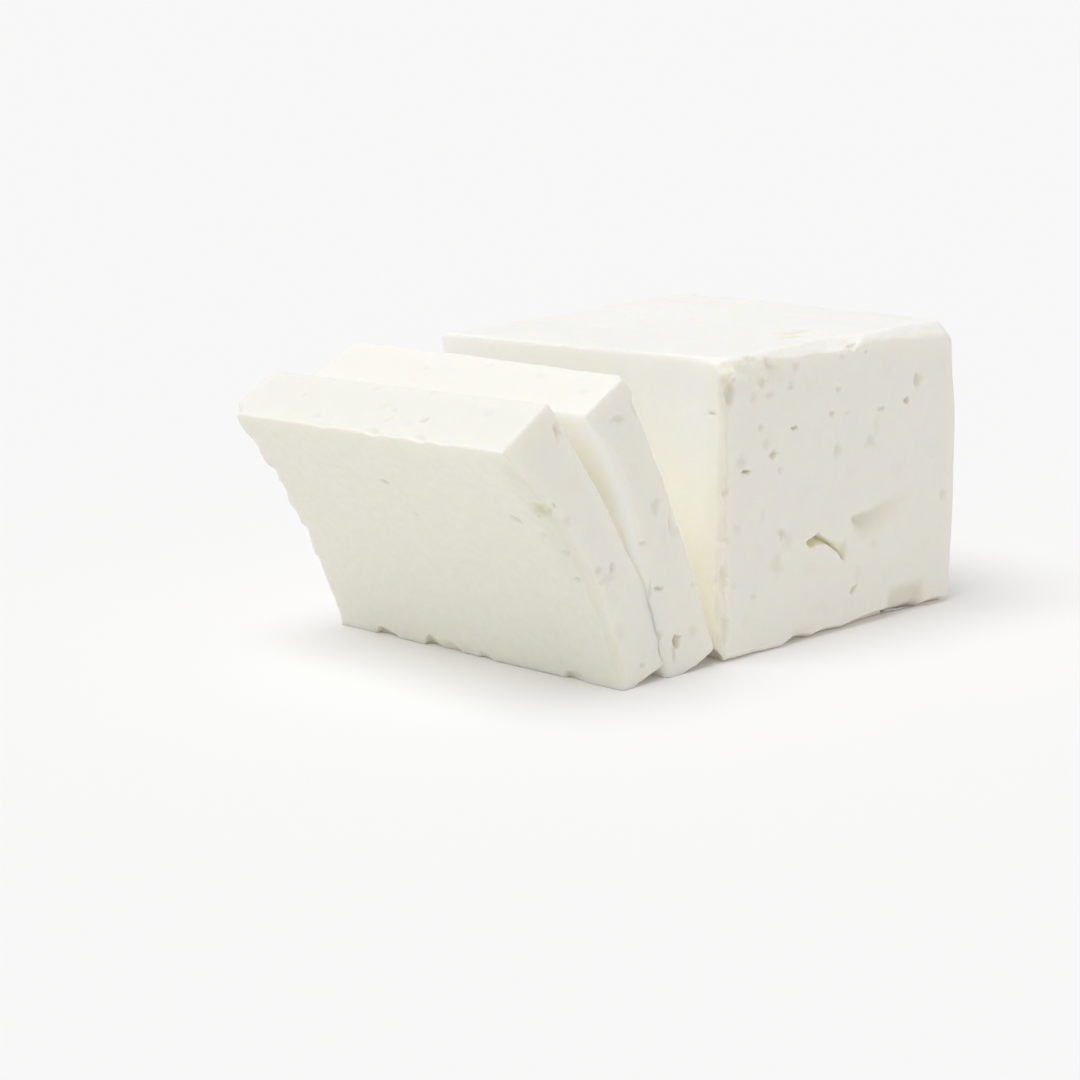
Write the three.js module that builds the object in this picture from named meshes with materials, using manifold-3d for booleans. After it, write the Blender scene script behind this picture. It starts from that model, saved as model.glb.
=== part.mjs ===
// White brined cheese: what is left of a loaf after slicing, with two slices
// cut from its end that still cling to it at their feet and lean away from it.
// Millimetres, +Z up. +X is the side that shows, -Y the cut end, and the
// origin lies on the resting plane under the middle of the whole.
import * as THREE from "three";
import { mergeVertices } from "three/addons/utils/BufferGeometryUtils.js";
import Module from "manifold-3d";

const wasm = await Module();
wasm.setup();

// ---- Driving dimensions -------------------------------------------------
const BLOCK_WIDTH = 101.5; // along X
const BLOCK_LENGTH = 96.2; // along Y, from the cut face to the back end
const BLOCK_HEIGHT = 77.3; // along Z, at the back end
const TOP_FALL_NEAR = 1.8; // the top falls this much to the cut end, +X side
const TOP_FALL_FAR = 3.7; // the same on the -X side
const CUT_FACE_Y = -11.9; // puts the middle of the whole over the origin
const CLING_GAP = 0.3; // between faces that cling to each other
const SLICE_WIDTH = 100.5;

// A slice is bounded by a front and a back face. On the +X side each runs
// from its foot to its top, as [Y, Z] from the cut face at resting level; bow
// sets the middle of the face back, because a wet slice droops as it leans.
// At the -X end the face is moved along Y by its swing, at foot and top. A
// foot set below resting level is pressed flat there. gape sets the upper part
// of a face further back on the +X side, where the slices stand apart.
const BACK_SLICE = {
  front: { foot: [-18.0, -1.5], top: [-48.1, 67.2], bow: 2.6, swing: [-0.8, 2.4], gape: 2.7 },
  back: { foot: [0.8, 3.4], top: [-32.9, 75.4], bow: 1.7, swing: [0, 2] },
  drop: 0.3, // how much lower its top is at the -X end
  sideways: 0, // how far the slice sits in from the block's +X side
  thickness: 16.5,
  height: 74,
};
const FRONT_SLICE = {
  front: { foot: [-33.8, -1.5], top: [-73.2, 62.1], bow: 6.4, swing: [-4.8, 1] },
  back: { foot: [-18.8, 3.4], top: [-58.2, 71.9], bow: 5.0, swing: [-1.2, 0.2] },
  drop: 2.0,
  sideways: 0.3,
  thickness: 15.5,
  height: 72,
};
const FAR_BOW = 0.45; // share of the bow that is left at the -X end

// Edges: a knife leaves them keen, the mould and handling leave them soft.
const KEEN_EDGE = 0.9;
const SOFT_EDGE = 2.0;
const WORN_CORNER = 4.2; // extra rounding on the back corner of the showing side
const WORN_REACH = 13; // how far that rounding spreads
const FOOT_WEAR = 1.5; // extra, uneven rounding where the sides meet the base
const UNEVEN = 0.42; // how far the sides wander from flat
const KEEN_UNEVEN = 0.22; // the same on cut faces

// Curd hollows on the block: place along Y from the cut face and height Z on
// the showing side, width along Y, height along Z, depth.
const SIDE_HOLLOWS = [
  { name: "scoop", y: 58.5, z: 27, width: 18, height: 10, depth: 1.4 },
  { name: "foot_dent", y: 75.5, z: 5.2, width: 15, height: 8, depth: 2.0 },
  { name: "corner_pit", y: 77.8, z: 62.5, width: 4, height: 6.5, depth: 1.4 },
  { name: "edge_chip", y: 19, z: 73.8, width: 12, height: 5, depth: 1.3 },
];
// The open crack: a chain of points along Y and Z on the showing side.
const CRACK = {
  path: [
    [32.8, 25.6],
    [36.4, 27.2],
    [41.7, 24.5],
    [48.0, 19.2],
  ],
  mouth: 3.4, // opening across
  depth: 4.5,
  sections: 9,
};

// Lattice of each piece: number of cells along X, Y and Z.
const BLOCK_CELLS = [18, 19, 16];
const SLICE_CELLS = [18, 5, 15];

const CHEESE = { color: 0xf2f0e6, roughness: 0.6, metalness: 0.0 };

// ---- Form ---------------------------------------------------------------
const lerp = THREE.MathUtils.lerp;

// A slow wander of the surface, about -1 to 1.
const wander = (x, y, z, k) =>
  (Math.sin(x / 17 + 1.3 * k) * Math.cos(y / 21 + 2.1 * k) +
    0.7 * Math.sin(y / 11 + z / 13 + 0.7 * k) +
    0.6 * Math.cos(z / 8.5 - x / 14 + 1.9 * k)) /
  1.9;

const bell = (d, reach) => Math.exp(-(d * d) / (2 * reach * reach));

// Spreads lattice lines over a length, with one line close to each edge.
function spread(share, cells, length, edge) {
  const i = Math.round(share * cells);
  if (i === 0) return 0;
  if (i === cells) return length;
  return edge + ((i - 1) / (cells - 2)) * (length - 2 * edge);
}

// A block of rounded, uneven form. size is its box, roundness(p) the edge
// radius near p, unevenness(p, n) the offset along the normal n, and place(p)
// takes the straight form to where the piece lies.
function curdBlock(size, cells, roundness, unevenness, place) {
  const box = new THREE.BoxGeometry(1, 1, 1, ...cells);
  box.deleteAttribute("normal");
  box.deleteAttribute("uv");
  const position = box.getAttribute("position");
  const p = new THREE.Vector3(),
    core = new THREE.Vector3(),
    n = new THREE.Vector3();
  for (let i = 0; i < position.count; i++) {
    p.fromBufferAttribute(position, i).addScalar(0.5);
    p.set(
      spread(p.x, cells[0], size[0], KEEN_EDGE),
      spread(p.y, cells[1], size[1], KEEN_EDGE),
      spread(p.z, cells[2], size[2], KEEN_EDGE),
    );
    const r = roundness(p);
    core.set(
      THREE.MathUtils.clamp(p.x, r, size[0] - r),
      THREE.MathUtils.clamp(p.y, r, size[1] - r),
      THREE.MathUtils.clamp(p.z, r, size[2] - r),
    );
    n.subVectors(p, core).normalize();
    p.copy(core).addScaledVector(n, r);
    p.addScaledVector(n, unevenness(p, n));
    place(p);
    position.setXYZ(i, p.x, p.y, p.z);
  }
  return mergeVertices(box, 1e-4);
}

// The share of the way from the +X side to the -X side.
const farShare = (x) => 0.5 - x / BLOCK_WIDTH;

// One face of a slice: its [Y, Z] at X and at a share s of the way up.
function faceAt(slice, face, x, s) {
  const far = farShare(x);
  const bow = face.bow * lerp(1, FAR_BOW, far);
  const gape =
    (face.gape ?? 0) *
    (1 - far) *
    THREE.MathUtils.smoothstep(s, 0.42, 0.72) *
    (1 - 0.65 * THREE.MathUtils.smoothstep(s, 0.85, 1));
  return [
    lerp(face.foot[0], face.top[0], s) +
      far * lerp(face.swing[0], face.swing[1], s) +
      4 * bow * s * (1 - s) +
      gape,
    lerp(face.foot[1], face.top[1] - far * slice.drop, s),
  ];
}

// The Y of a slice's front face at X and Z.
function frontY(slice, x, z) {
  const { foot, top } = slice.front;
  const s = (z - foot[1]) / (top[1] - farShare(x) * slice.drop - foot[1]);
  return faceAt(slice, slice.front, x, s)[0];
}

// ---- The block ----------------------------------------------------------
function blockRoundness(p) {
  const x = p.x - BLOCK_WIDTH / 2;
  const cut = bell(p.y, 6);
  const soft = lerp(SOFT_EDGE, KEEN_EDGE, cut);
  const corner = Math.hypot(
    p.x - BLOCK_WIDTH,
    p.y - BLOCK_LENGTH,
    p.z - BLOCK_HEIGHT,
  );
  const foot =
    bell(p.z, 5) *
    FOOT_WEAR *
    (0.5 + 0.5 * Math.sin(p.y / 6.1 + 0.9) * Math.cos(x / 9 + 0.4));
  return soft + WORN_CORNER * bell(corner, WORN_REACH) + (1 - cut) * foot;
}

function blockUnevenness(p, n) {
  const base = THREE.MathUtils.smoothstep(-n.z, 0.05, 0.5);
  const cut = THREE.MathUtils.smoothstep(-n.y, 0.2, 0.7);
  const k = 1 + 0.5 * n.x + 0.8 * n.y + 1.1 * n.z;
  const loose = UNEVEN * (wander(p.x, p.y, p.z, k) - 0.6);
  const keen = KEEN_UNEVEN * (wander(p.x * 1.3, p.y, p.z * 1.2, 2) - 1);
  return (1 - base) * lerp(loose, keen, cut);
}

// The top falls to the cut end, the base stays level, and the cut face never
// bulges past its plane.
function placeBlock(p) {
  p.x -= BLOCK_WIDTH / 2;
  const fall =
    lerp(TOP_FALL_NEAR, TOP_FALL_FAR, farShare(p.x)) *
    (1 - p.y / BLOCK_LENGTH);
  p.z = Math.max(p.z * (1 - fall / BLOCK_HEIGHT), 0);
  p.y = Math.max(p.y, 0) + CUT_FACE_Y;
}

// A wedge-shaped crack that winds over the showing side.
function crackCutter() {
  const onSide = ([y, z]) =>
    new THREE.Vector3(BLOCK_WIDTH / 2, y + CUT_FACE_Y, z);
  const path = new THREE.CatmullRomCurve3(CRACK.path.map(onSide));
  const wedge = [];
  for (let i = 0; i <= CRACK.sections; i++) {
    const u = i / CRACK.sections;
    const at = path.getPoint(u),
      along = path.getTangent(u);
    const across = new THREE.Vector3(1, 0, 0).cross(along).normalize();
    const open = CRACK.mouth * (0.25 + 0.75 * Math.sin(Math.PI * u) ** 0.7);
    const deep = CRACK.depth * (0.3 + 0.7 * Math.sin(Math.PI * u));
    const lip = (side) =>
      at
        .clone()
        .addScaledVector(across, (side * open) / 2)
        .add(new THREE.Vector3(1.5, 0, 0));
    const root = at
      .clone()
      .addScaledVector(across, -0.25 * open)
      .add(new THREE.Vector3(-deep, 0, 0));
    wedge.push([lip(1), lip(-1), root]);
  }
  const points = wedge.flat().flatMap((v) => v.toArray());
  const faces = [0, 2, 1];
  for (let i = 0; i < CRACK.sections; i++)
    for (let j = 0; j < 3; j++) {
      const a = 3 * i + j,
        b = 3 * i + ((j + 1) % 3);
      faces.push(a, b, a + 3, b, b + 3, a + 3);
    }
  const last = 3 * CRACK.sections;
  faces.push(last, last + 1, last + 2);
  const cutter = new THREE.BufferGeometry();
  cutter.setAttribute(
    "position",
    new THREE.Float32BufferAttribute(points, 3),
  );
  cutter.setIndex(faces);
  return cutter;
}

// A shallow lens-shaped hollow in the showing side.
function hollowCutter(hollow) {
  const lens = new THREE.IcosahedronGeometry(1, 2);
  const rise = 1.25; // how far the lens stands out of the side
  const reach = hollow.depth + rise;
  const spreadOut = 1 / Math.sqrt(1 - (rise / reach) ** 2);
  lens.scale(
    reach,
    (hollow.width / 2) * spreadOut,
    (hollow.height / 2) * spreadOut,
  );
  lens.rotateX(0.25);
  lens.translate(
    BLOCK_WIDTH / 2 + rise,
    hollow.y + CUT_FACE_Y,
    hollow.z,
  );
  return lens;
}

// ---- The slices ---------------------------------------------------------
function sliceRoundness(slice) {
  return (p) => {
    const side = Math.min(p.x, SLICE_WIDTH - p.x);
    const soft = lerp(KEEN_EDGE, SOFT_EDGE, bell(side, 3));
    return Math.min(
      soft + 0.6 * FOOT_WEAR * bell(p.z, 4) * (0.8 + 0.4 * Math.sin(p.x / 7)),
      slice.thickness * 0.4,
    );
  };
}

function sliceUnevenness(k) {
  return (p, n) => {
    const side = Math.abs(n.x);
    const depth = lerp(KEEN_UNEVEN, 2.2 * UNEVEN, side);
    return depth * (wander(p.x, p.y * 1.4, p.z, k) - 0.8);
  };
}

// Bends the straight slab between the slice's two faces.
function placeSlice(slice, stop) {
  return (p) => {
    const s = p.z / slice.height,
      t = p.y / slice.thickness;
    p.x = p.x - SLICE_WIDTH + BLOCK_WIDTH / 2 - slice.sideways;
    const front = faceAt(slice, slice.front, p.x, s),
      back = faceAt(slice, slice.back, p.x, s);
    p.z = Math.max(lerp(front[1], back[1], t), 0);
    p.y = Math.min(lerp(front[0], back[0], t), stop(p.x, p.z)) + CUT_FACE_Y;
  };
}

// ---- Joining, cutting and naming ---------------------------------------
function solid(geometry) {
  const g = geometry.index ? geometry : mergeVertices(geometry, 1e-4);
  return new wasm.Manifold(
    new wasm.Mesh({
      numProp: 3,
      vertProperties: new Float32Array(g.getAttribute("position").array),
      triVerts: new Uint32Array(g.index.array),
    }),
  );
}

function cutAway(geometry, cutters) {
  let body = solid(geometry);
  for (const cutter of cutters) {
    cutter.deleteAttribute("normal");
    cutter.deleteAttribute("uv");
    body = body.subtract(solid(cutter.index ? cutter : mergeVertices(cutter)));
  }
  const mesh = body.getMesh();
  const out = new THREE.BufferGeometry();
  out.setAttribute(
    "position",
    new THREE.BufferAttribute(new Float32Array(mesh.vertProperties), 3),
  );
  out.setIndex(new THREE.BufferAttribute(new Uint32Array(mesh.triVerts), 1));
  return out;
}

function piece(name, geometry) {
  geometry.computeVertexNormals();
  const mesh = new THREE.Mesh(
    geometry,
    new THREE.MeshStandardMaterial(CHEESE),
  );
  mesh.name = name;
  return mesh;
}

const block = cutAway(
  curdBlock(
    [BLOCK_WIDTH, BLOCK_LENGTH, BLOCK_HEIGHT],
    BLOCK_CELLS,
    blockRoundness,
    blockUnevenness,
    placeBlock,
  ),
  [crackCutter(), ...SIDE_HOLLOWS.map(hollowCutter)],
);

const sliceSize = (slice) => [SLICE_WIDTH, slice.thickness, slice.height];

const backSlice = curdBlock(
  sliceSize(BACK_SLICE),
  SLICE_CELLS,
  sliceRoundness(BACK_SLICE),
  sliceUnevenness(3),
  placeSlice(BACK_SLICE, () => -CLING_GAP),
);

const frontSlice = curdBlock(
  sliceSize(FRONT_SLICE),
  SLICE_CELLS,
  sliceRoundness(FRONT_SLICE),
  sliceUnevenness(5),
  placeSlice(FRONT_SLICE, (x, z) => frontY(BACK_SLICE, x, z) - CLING_GAP),
);

const cheese = new THREE.Group();
cheese.add(
  piece("block", block),
  piece("slice_back", backSlice),
  piece("slice_front", frontSlice),
);

export default cheese;
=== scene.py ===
"""The looks of a white brined cheese: a cut block and two slices leaning against it.

Each piece is a fine lattice drawn over the same form as its CAD solid, then worked like curd:
a cut face stays smooth, an outer face keeps its pits, slits and dents, and edges crumble.
Sizes are in millimetres and turn to metres when a mesh is made.
"""

import math

import bpy
import numpy as np
from mathutils import Matrix, Vector


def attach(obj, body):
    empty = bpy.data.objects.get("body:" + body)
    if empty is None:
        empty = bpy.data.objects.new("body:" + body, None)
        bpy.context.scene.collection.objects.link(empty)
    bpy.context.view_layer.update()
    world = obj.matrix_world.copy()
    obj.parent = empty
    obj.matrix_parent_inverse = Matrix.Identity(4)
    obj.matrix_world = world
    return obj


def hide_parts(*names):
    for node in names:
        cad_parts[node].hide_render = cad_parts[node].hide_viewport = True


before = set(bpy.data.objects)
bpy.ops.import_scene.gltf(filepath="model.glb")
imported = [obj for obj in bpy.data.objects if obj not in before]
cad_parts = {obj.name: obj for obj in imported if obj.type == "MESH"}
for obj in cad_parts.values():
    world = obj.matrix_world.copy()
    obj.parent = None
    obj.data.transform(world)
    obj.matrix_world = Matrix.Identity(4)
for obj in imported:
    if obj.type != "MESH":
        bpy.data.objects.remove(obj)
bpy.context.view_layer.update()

MM = 0.001

# ---------------------------------------------------------------- sizes, as in the CAD

BLOCK_WIDTH, BLOCK_LENGTH, BLOCK_HEIGHT = 101.5, 96.2, 77.3
TOP_FALL_NEAR, TOP_FALL_FAR = 1.8, 3.7
CUT_FACE_Y = -11.9
SLICE_WIDTH = 100.5
FAR_BOW = 0.45
KEEN_EDGE, SOFT_EDGE = 0.9, 2.0
WORN_CORNER, WORN_REACH = 4.2, 13.0
FOOT_WEAR = 1.5
UNEVEN, KEEN_UNEVEN = 0.42, 0.22

BACK_SLICE = dict(
    front=dict(foot=(-18.0, -1.5), top=(-48.1, 67.2), bow=2.6, swing=(-0.8, 2.4), gape=2.7),
    back=dict(foot=(0.8, 3.4), top=(-32.9, 75.4), bow=1.7, swing=(0.0, 2.0)),
    drop=0.3, sideways=0.0, thickness=16.5, height=74.0,
)
FRONT_SLICE = dict(
    front=dict(foot=(-33.8, -1.5), top=(-73.2, 62.1), bow=6.4, swing=(-4.8, 1.0)),
    back=dict(foot=(-18.8, 3.4), top=(-58.2, 71.9), bow=5.0, swing=(-1.2, 0.2)),
    drop=2.0, sideways=0.3, thickness=15.5, height=72.0,
)

# ---------------------------------------------------------------- small maths


def mix(a, b, t):
    return a + (b - a) * t


def smooth(t, a, b):
    t = np.clip((t - a) / (b - a), 0.0, 1.0)
    return t * t * (3 - 2 * t)


def bell(d, reach):
    return np.exp(-d * d / (2 * reach * reach))


def unit(v):
    v = np.asarray(v, float)
    return v / np.linalg.norm(v)


def wander(x, y, z, k):
    return (
        np.sin(x / 17 + 1.3 * k) * np.cos(y / 21 + 2.1 * k)
        + 0.7 * np.sin(y / 11 + z / 13 + 0.7 * k)
        + 0.6 * np.cos(z / 8.5 - x / 14 + 1.9 * k)
    ) / 1.9


_dice = np.random.RandomState(11)
_slopes = _dice.normal(size=(256, 3))
_slopes /= np.linalg.norm(_slopes, axis=1)[:, None]
_shuffle = np.tile(_dice.permutation(256), 2)


def noise(points, size, seed=0):
    """Gradient noise of about -1 to 1 with lumps of that size."""
    q = points / size + np.array([0.37, 0.71, 0.13]) * (seed * 13 + 5)
    cell = np.floor(q).astype(np.int64)
    f = q - cell
    w = f * f * f * (f * (f * 6 - 15) + 10)
    total = np.zeros(len(points))
    for dx in (0, 1):
        for dy in (0, 1):
            for dz in (0, 1):
                h = _shuffle[(cell[:, 0] + dx) & 255]
                h = _shuffle[(h + cell[:, 1] + dy) & 255]
                h = _shuffle[(h + cell[:, 2] + dz) & 255]
                g = _slopes[h]
                d = (
                    g[:, 0] * (f[:, 0] - dx)
                    + g[:, 1] * (f[:, 1] - dy)
                    + g[:, 2] * (f[:, 2] - dz)
                )
                share = (
                    (w[:, 0] if dx else 1 - w[:, 0])
                    * (w[:, 1] if dy else 1 - w[:, 1])
                    * (w[:, 2] if dz else 1 - w[:, 2])
                )
                total += share * d
    return total * 1.6


# ---------------------------------------------------------------- the form, as in the CAD


def far_share(x):
    return 0.5 - x / BLOCK_WIDTH


def face_at(piece, face, x, s):
    far = far_share(x)
    bow = face["bow"] * mix(1.0, FAR_BOW, far)
    y = (
        mix(face["foot"][0], face["top"][0], s)
        + far * mix(face["swing"][0], face["swing"][1], s)
        + 4 * bow * s * (1 - s)
        + face.get("gape", 0.0) * (1 - far) * smooth(s, 0.42, 0.72) * (1 - 0.65 * smooth(s, 0.85, 1.0))
    )
    z = mix(face["foot"][1], face["top"][1] - far * piece["drop"], s)
    return y, z


def front_y(piece, x, z):
    face = piece["front"]
    low = face["foot"][1]
    s = (z - low) / (face["top"][1] - far_share(x) * piece["drop"] - low)
    return face_at(piece, face, x, s)[0]


def block_roundness(p):
    x = p[:, 0] - BLOCK_WIDTH / 2
    cut = bell(p[:, 1], 6)
    soft = mix(SOFT_EDGE, KEEN_EDGE, cut)
    corner = np.sqrt(
        (p[:, 0] - BLOCK_WIDTH) ** 2
        + (p[:, 1] - BLOCK_LENGTH) ** 2
        + (p[:, 2] - BLOCK_HEIGHT) ** 2
    )
    foot = (
        bell(p[:, 2], 5)
        * FOOT_WEAR
        * (0.5 + 0.5 * np.sin(p[:, 1] / 6.1 + 0.9) * np.cos(x / 9 + 0.4))
    )
    lumpy = 1 + 0.45 * noise(p, 9.0, 31) + 0.25 * noise(p, 3.5, 32)
    near = bell(BLOCK_WIDTH - p[:, 0], 4)
    upright = 2.4 * near * cut * lumpy
    crown = 1.3 * near * bell(BLOCK_HEIGHT - p[:, 2], 4) * (1 - cut) * lumpy
    return soft + WORN_CORNER * bell(corner, WORN_REACH) + (1 - cut) * foot + upright + crown


def block_unevenness(p, n):
    base = smooth(-n[:, 2], 0.05, 0.5)
    cut = smooth(-n[:, 1], 0.2, 0.7)
    k = 1 + 0.5 * n[:, 0] + 0.8 * n[:, 1] + 1.1 * n[:, 2]
    loose = UNEVEN * (wander(p[:, 0], p[:, 1], p[:, 2], k) - 0.6)
    keen = KEEN_UNEVEN * (wander(1.3 * p[:, 0], p[:, 1], 1.2 * p[:, 2], 2) - 1)
    return (1 - base) * mix(loose, keen, cut)


def block_place(p):
    x = p[:, 0] - BLOCK_WIDTH / 2
    fall = mix(TOP_FALL_NEAR, TOP_FALL_FAR, far_share(x)) * (1 - p[:, 1] / BLOCK_LENGTH)
    z = np.maximum(p[:, 2] * (1 - fall / BLOCK_HEIGHT), 0)
    return np.stack([x, np.maximum(p[:, 1], 0) + CUT_FACE_Y, z], 1)


def slice_roundness(piece, clinging):
    def roundness(p):
        side = np.minimum(p[:, 0], SLICE_WIDTH - p[:, 0])
        lumpy = 1 + 0.45 * noise(p, 9.0, 33) + 0.25 * noise(p, 3.5, 34)
        soft = mix(KEEN_EDGE, SOFT_EDGE * smooth(p[:, 2], -3, 6) * (1 - 0.6 * smooth(p[:, 2], piece["height"] - 10, piece["height"] - 3)) + 1.1 * lumpy * smooth(piece["height"] - p[:, 2], 2, 16) * smooth(p[:, 2], 0, 9), bell(side, 4))
        back_foot = 1.6 * bell(SLICE_WIDTH - p[:, 0], 7) * smooth(p[:, 1] / piece["thickness"], 0.5, 0.9) * (clinging == "front")
        wear_and_painted_shade = (0.6 * FOOT_WEAR * (1 - 0.8 * bell(SLICE_WIDTH - p[:, 0], 7)) + back_foot) * bell(p[:, 2], 4) * (0.8 + 0.4 * np.sin(p[:, 0] / 7))
        t = p[:, 1] / piece["thickness"]
        shut = (
            smooth(t if clinging == "back" else 1 - t, 0.5, 0.8)
            * (1 - smooth(p[:, 2] / piece["height"], 0.30, 0.48))
            * smooth(p[:, 2], 3, 8)
        )
        gape = (
            0.9
            * smooth(1 - t, 0.5, 0.8)
            * bell(SLICE_WIDTH - p[:, 0], 5)
            * smooth(p[:, 2] / piece["height"], 0.40, 0.56)
            * (1 - smooth(p[:, 2] / piece["height"], 0.80, 0.97))
        )
        wear_and_painted_shade = wear_and_painted_shade + (gape if clinging == "front" else 0.0)
        return np.minimum(mix(soft + wear_and_painted_shade, 0.3, shut), piece["thickness"] * 0.4)

    return roundness


def slice_unevenness(k):
    def unevenness(p, n):
        amount = mix(KEEN_UNEVEN, np.where(n[:, 0] > 0, 0.0, 2.2 * UNEVEN), np.abs(n[:, 0]))
        return amount * (wander(p[:, 0], 1.4 * p[:, 1], p[:, 2], k) - 0.8)

    return unevenness


def slice_place(piece, stop):
    def place(p):
        s = p[:, 2] / piece["height"]
        t = p[:, 1] / piece["thickness"]
        x = p[:, 0] - SLICE_WIDTH + BLOCK_WIDTH / 2 - piece["sideways"]
        fy, fz = face_at(piece, piece["front"], x, s)
        by, bz = face_at(piece, piece["back"], x, s)
        z = np.maximum(mix(fz, bz, t), 0)
        y = np.minimum(mix(fy, by, t), stop(x, z)) + CUT_FACE_Y
        # Both slices share one uneven near side, as the loaf they were cut from did.
        near = smooth(p[:, 0], SLICE_WIDTH - 8, SLICE_WIDTH - 1)
        x = x + near * (piece["sideways"] - 0.85 + 0.6 * wander(0.0, 1.4 * y, z, 4.0))
        return np.stack([x, y, z], 1)

    return place


def stop_at_block(x, z):
    return np.full_like(x, -0.2)


def stop_at_back_slice(x, z):
    return front_y(BACK_SLICE, x, z) + 0.2


# ---------------------------------------------------------------- a piece of curd


def lattice_lines(length, step, dense=()):
    """Lines along one edge: closer where the edge rounds over, and over the stretches in dense."""
    marks = [0.0]
    while marks[-1] < length:
        at = marks[-1]
        s = mix(0.24, step, float(smooth(min(at, length - at), 1.2, 4.5)))
        for low, high, fine in dense:
            if low <= at <= high:
                s = min(s, fine)
        marks.append(at + s)
    marks = np.array(marks)
    marks[-1] = length
    if marks[-1] - marks[-2] < 0.1:
        marks = np.delete(marks, -2)
    return marks


class Curd:
    """A piece as a lattice over a box: straight holds the box's points, base the formed ones and points the worked ones."""

    def __init__(self, size, step, dense, roundness, unevenness, place):
        self.size = np.array(size, float)
        lines = [lattice_lines(size[i], step, dense[i]) for i in range(3)]
        nx, ny, nz = (len(line) for line in lines)
        shell = np.ones((nx, ny, nz), bool)
        shell[1:-1, 1:-1, 1:-1] = False
        index = np.full((nx, ny, nz), -1, np.int64)
        index[shell] = np.arange(shell.sum())
        i, j, k = np.nonzero(shell)
        p = np.stack([lines[0][i], lines[1][j], lines[2][k]], 1)
        self.straight = p

        def quads(sheet, turned):
            a, b, c, d = sheet[:-1, :-1], sheet[1:, :-1], sheet[1:, 1:], sheet[:-1, 1:]
            loop = (a, d, c, b) if turned else (a, b, c, d)
            return np.stack([v.ravel() for v in loop], 1)

        self.faces = np.concatenate(
            [
                quads(index[0], True), quads(index[-1], False),
                quads(index[:, 0], False), quads(index[:, -1], True),
                quads(index[:, :, 0], True), quads(index[:, :, -1], False),
            ]
        )
        sides = np.sort(np.minimum(p, self.size - p), axis=1)
        self.rim = sides[:, 1]

        r = roundness(p)[:, None]
        core = np.clip(p, r, self.size - r)
        out = p - core
        out /= np.linalg.norm(out, axis=1)[:, None]
        q = core + out * r
        q = q + out * unevenness(q, out)[:, None]
        self.side = out
        self.base = place(q)
        self.points = self.base.copy()
        self.normal = self.normals()
        # Painted olive shade and painted grey shade for each point.
        self.painted_olive_shade = np.zeros(len(p))
        self.shade = np.zeros(len(p))
        self.glow = np.zeros(len(p))

    def normals(self):
        v = self.points[self.faces]
        n = np.cross(v[:, 2] - v[:, 0], v[:, 3] - v[:, 1])
        total = np.zeros_like(self.points)
        for corner in range(4):
            for axis in range(3):
                total[:, axis] += np.bincount(
                    self.faces[:, corner], n[:, axis], len(self.points)
                )
        return total / np.maximum(np.linalg.norm(total, axis=1), 1e-12)[:, None]

    def around(self, at, reach, facing=None):
        d = self.base - at
        near = (np.abs(d) < reach).all(1)
        if facing is not None:
            near &= self.normal @ facing > 0.3
        return np.nonzero(near)[0]

    def frame_of(self, at, facing):
        """The spot on that side closest to at, its outward direction, and two directions along the surface, the second upward."""
        pick = np.nonzero(self.side @ np.asarray(facing, float) > 0.8)[0]
        spot = pick[np.argmin(((self.base[pick] - at) ** 2).sum(1))]
        n = self.normal[spot]
        up = np.array([0.0, 0.0, 1.0]) if abs(n[2]) < 0.9 else np.array([0.0, 1.0, 0.0])
        u = unit(np.cross(up, n))
        return self.base[spot], n, u, np.cross(n, u)

    def press(self, at, facing, ru, rv, depth, turn=0.0, rag=0.22, steep=1.3, seed=1, shade_weight=1.0, olive=1.0):
        """A bowl in a face: ru along it, rv up it, turned by turn degrees, with a ragged outline."""
        o, n, u, v = self.frame_of(np.asarray(at, float), facing)
        pick = self.around(o, 1.4 * max(ru, rv) + 1.5, n)
        d = self.base[pick] - o
        c, s = math.cos(math.radians(turn)), math.sin(math.radians(turn))
        a, b = d @ u, d @ v
        a, b = a * c + b * s, b * c - a * s
        rho = np.sqrt((a / ru) ** 2 + (b / rv) ** 2)
        rho = rho * (1 + rag * noise(self.base[pick], max(0.55 * math.sqrt(ru * rv), 0.7), seed))
        share = np.clip(1 - rho**2, 0, 1) ** steep
        self.points[pick] -= n * (depth * share)[:, None]
        self.mark(pick, share, depth, shade_weight, olive)

    def flake(self, at, facing, length, rise, drop, depth, turn=0.0, wall=0.4, seed=1, shade_weight=0.6, olive=0.0):
        """A lost flake: crisp along its upper rim and at its left end, sinking below the rim, then running out along the face and down it."""
        o, n, u, v = self.frame_of(np.asarray(at, float), facing)
        pick = self.around(o, 1.2 * max(length, drop) + 2, n)
        d = self.base[pick] - o
        c, s = math.cos(math.radians(turn)), math.sin(math.radians(turn))
        a, b = d @ u, d @ v
        a, b = a * c + b * s, b * c - a * s
        rag = 0.4 * noise(self.base[pick], 2.2, seed) + 0.8 * noise(self.base[pick], 6.0, seed + 1)
        below = rag - b
        soft = wall + 0.5 * np.maximum(below, 0)
        share = (
            smooth(below, 0, rise)
            * (1 - smooth(below, rise, drop))
            * np.clip(1 - np.maximum(a, 0) / length, 0, 1) ** 1.3
            * smooth(a + 0.4 * rag, -wall, 2 * soft - wall)
        )
        self.points[pick] -= n * (depth * share)[:, None]
        # The flake gets painted shade, and an olive painted shade in proportion to olive.
        self.mark(pick, share, 1.0, shade_weight)
        self.painted_olive_shade[pick] = np.maximum(self.painted_olive_shade[pick], olive * share)

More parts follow.
